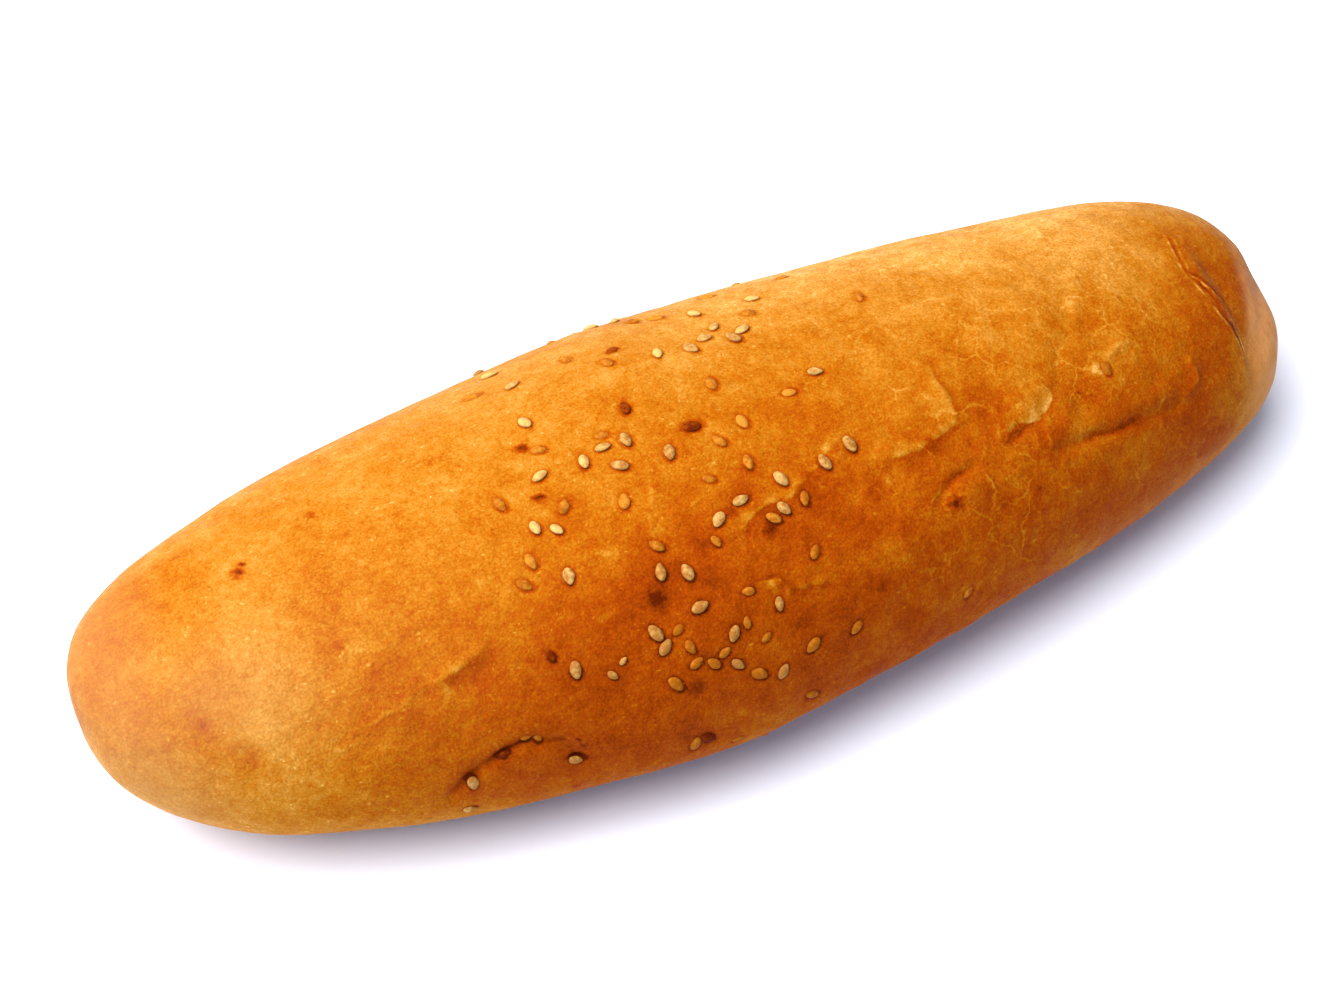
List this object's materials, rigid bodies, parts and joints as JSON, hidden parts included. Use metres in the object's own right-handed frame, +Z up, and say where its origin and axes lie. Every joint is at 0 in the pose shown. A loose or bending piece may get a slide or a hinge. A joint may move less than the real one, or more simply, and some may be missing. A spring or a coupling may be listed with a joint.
{
  "type": "baguette roll",
  "caption": "Soft long loaf of bread with a smooth golden crust, blunt rounded ends, a flat base, shallow creases and sesame seeds over its middle.",
  "frame": {"origin": "on the floor plane under the middle of the loaf's bounding box", "axes": "+X along the loaf towards the end with the fold, +Y to the back, +Z up"},
  "size_m": [0.225, 0.0853, 0.0474],
  "materials": {
    "crust": "smooth baked crust, golden to orange brown, softly glossy",
    "seed": "toasted sesame, pale cream to brown"
  },
  "bodies": {
    "root": {"loaf": "crust"}
  },
  "joints": []
}
